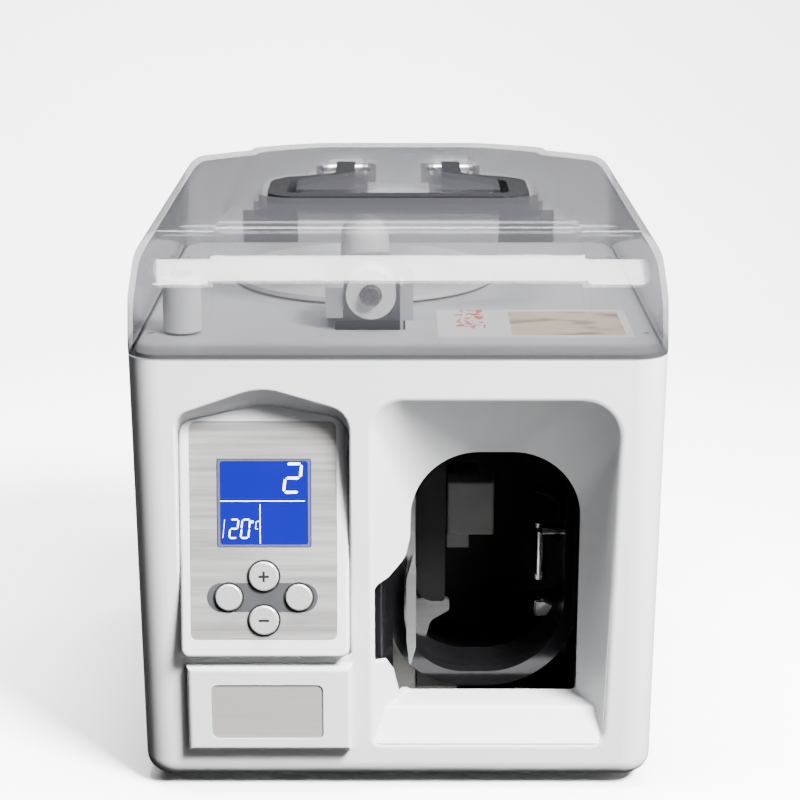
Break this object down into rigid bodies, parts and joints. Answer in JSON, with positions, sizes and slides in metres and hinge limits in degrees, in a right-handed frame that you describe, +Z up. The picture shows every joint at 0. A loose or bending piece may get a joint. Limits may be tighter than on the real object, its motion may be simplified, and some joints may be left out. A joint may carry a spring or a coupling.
{
  "type": "paper tape banding machine",
  "caption": "Tabletop paper-tape banding machine with a front throat, tilted display console, smoky hinged lid and fold-down carry handle.",
  "frame": {"origin": "under the middle of the whole machine, on the surface that its feet stand on", "axes": "+X to the right seen from the front, +Y from the front to the back, +Z up"},
  "size_m": [0.2516, 0.281, 0.2778],
  "materials": {
    "white_shell": "glossy moulded",
    "smoke_lid": "clear smoky moulded",
    "black_bail": "glossy moulded",
    "zinc_steel": "zinc plated",
    "white_nylon": "satin",
    "grey_deck": "satin",
    "grey_steel": "powder coated",
    "label_film": "printed film",
    "panel_film": "brushed print",
    "lcd_glass": "backlit blue",
    "silver_button": "silver lacquer",
    "silver_plate": "satin",
    "board_green": "solder mask",
    "black_gloss": "glossy moulded",
    "satin_steel": "satin ground",
    "bright_steel": "polished",
    "black_rubber": "matte",
    "grey_plastic": "satin",
    "gear_nylon": "satin",
    "brass_tool": "machined",
    "alloy_block": "machined",
    "iron_core": "lacquered"
  },
  "bodies": {
    "housing": {"main_housing": "white_shell", "top_deck": "grey_deck", "rear_cover": "white_shell", "rear_screws": "zinc_steel", "base_plate": "grey_steel", "rubber_feet": "black_rubber", "hinge_leaves_housing": "zinc_steel", "spindle_pin": "zinc_steel", "guide_pin": "zinc_steel", "roller_screw": "zinc_steel", "roller_bracket": "grey_steel", "deck_label": "label_film", "console_bezel": "white_shell", "panel_overlay": "panel_film", "lcd_module": "lcd_glass", "control_board": "board_green", "name_plate": "silver_plate", "tape_track": "black_gloss", "throat_liner": "black_gloss", "press_anvil": "satin_steel", "head_guard": "black_gloss", "chamber_bulkhead": "grey_steel", "track_bracket": "black_gloss", "bracket_hardware": "bright_steel", "head_base": "black_gloss", "tape_sensor": "grey_plastic", "head_cover": "black_gloss", "hook_plate": "satin_steel", "pinch_axle": "zinc_steel", "feed_motor": "zinc_steel", "head_motor": "zinc_steel", "head_rails": "bright_steel", "head_frame": "grey_steel", "power_supply": "iron_core", "drive_board": "board_green", "power_inlet": "black_gloss", "switch_frame": "black_gloss"},
    "lid": {"lid": "smoke_lid", "hinge_leaves_lid": "zinc_steel", "handle_pins": "zinc_steel"},
    "carry_handle": {"carry_handle": "black_bail"},
    "roll_turntable": {"roll_tray": "grey_plastic", "roll_hub": "white_nylon"},
    "guide_sleeve": {"guide_sleeve": "white_nylon"},
    "guide_roller": {"guide_roller": "white_nylon"},
    "feed_roller": {"feed_roller": "alloy_block", "feed_tyre": "black_rubber", "feed_gear": "gear_nylon"},
    "feed_pinion": {"feed_pinion": "brass_tool"},
    "pinch_roller": {"pinch_roller": "satin_steel"},
    "head_pinion": {"head_pinion": "brass_tool"},
    "head_carriage": {"head_carriage": "alloy_block"},
    "press_pad": {"press_pad": "satin_steel"},
    "heater_block": {"heater_block": "brass_tool"},
    "cutter_blade": {"cutter_blade": "satin_steel"},
    "power_rocker": {"power_rocker": "black_gloss"},
    "button_plus": {"button_plus": "silver_button"},
    "button_minus": {"button_minus": "silver_button"},
    "button_left": {"button_left": "silver_button"},
    "button_right": {"button_right": "silver_button"}
  },
  "joints": [
    {"name": "lid_hinge", "type": "hinge", "parent": "housing", "child": "lid", "pos_m": [0, 0.137, 0.2195], "axis": [-1, 0, 0], "range_deg": [0, 95]},
    {"name": "handle_hinge", "type": "hinge", "parent": "lid", "child": "carry_handle", "pos_m": [0, 0.0715, 0.2717], "axis": [-1, 0, 0], "range_deg": [0, 90]},
    {"name": "roll_spin", "type": "hinge", "parent": "housing", "child": "roll_turntable", "pos_m": [-0.018, 0.0395, 0.2165], "axis": [0, 0, 1], "continuous": true},
    {"name": "guide_sleeve_spin", "type": "hinge", "parent": "housing", "child": "guide_sleeve", "pos_m": [-0.1035, -0.0855, 0.2265], "axis": [0, 0, 1], "continuous": true},
    {"name": "guide_roller_spin", "type": "hinge", "parent": "housing", "child": "guide_roller", "pos_m": [-0.013, -0.0735, 0.236], "axis": [0, 1, 0], "continuous": true},
    {"name": "feed_roller_spin", "type": "hinge", "parent": "housing", "child": "feed_roller", "pos_m": [-0.0163, -0.0735, 0.189], "axis": [0, 1, 0], "continuous": true},
    {"name": "feed_pinion_spin", "type": "hinge", "parent": "housing", "child": "feed_pinion", "pos_m": [-0.0443, -0.0525, 0.189], "axis": [0, 1, 0], "continuous": true},
    {"name": "pinch_roller_spin", "type": "hinge", "parent": "housing", "child": "pinch_roller", "pos_m": [0.004, -0.0735, 0.189], "axis": [0, 1, 0], "continuous": true},
    {"name": "head_carriage_slide", "type": "slide", "parent": "housing", "child": "head_carriage", "axis": [1, 0, 0], "range_m": [0, 0.006]},
    {"name": "head_pinion_spin", "type": "hinge", "parent": "housing", "child": "head_pinion", "pos_m": [-0.04, -0.0675, 0.0528], "axis": [0, 1, 0], "range_deg": [0, 49.2]},
    {"name": "press_pad_slide", "type": "slide", "parent": "head_carriage", "child": "press_pad", "axis": [-1, 0, 0], "range_m": [0, 0.002], "stiffness_N_per_m": 2000},
    {"name": "heater_block_slide", "type": "slide", "parent": "head_carriage", "child": "heater_block", "axis": [-1, 0, 0], "range_m": [0, 0.002], "stiffness_N_per_m": 2000},
    {"name": "cutter_blade_slide", "type": "slide", "parent": "head_carriage", "child": "cutter_blade", "axis": [-1, 0, 0], "range_m": [0, 0.002], "stiffness_N_per_m": 1500},
    {"name": "power_rocker_tilt", "type": "hinge", "parent": "housing", "child": "power_rocker", "pos_m": [0.028, 0.1295, 0.051], "axis": [-1, 0, 0], "range_deg": [0, 16]},
    {"name": "button_plus_press", "type": "slide", "parent": "housing", "child": "button_plus", "axis": [0, 0.9848, -0.1736], "range_m": [0, 0.001], "stiffness_N_per_m": 600},
    {"name": "button_minus_press", "type": "slide", "parent": "housing", "child": "button_minus", "axis": [0, 0.9848, -0.1736], "range_m": [0, 0.001], "stiffness_N_per_m": 600},
    {"name": "button_left_press", "type": "slide", "parent": "housing", "child": "button_left", "axis": [0, 0.9848, -0.1736], "range_m": [0, 0.001], "stiffness_N_per_m": 600},
    {"name": "button_right_press", "type": "slide", "parent": "housing", "child": "button_right", "axis": [0, 0.9848, -0.1736], "range_m": [0, 0.001], "stiffness_N_per_m": 600}
  ],
  "couplings": [
    {"joint": "feed_pinion_spin", "follows": "feed_roller_spin", "ratio": -2.5},
    {"joint": "pinch_roller_spin", "follows": "feed_roller_spin", "ratio": -1.5},
    {"joint": "head_pinion_spin", "follows": "head_carriage_slide", "rad_per_m": 142.86}
  ]
}
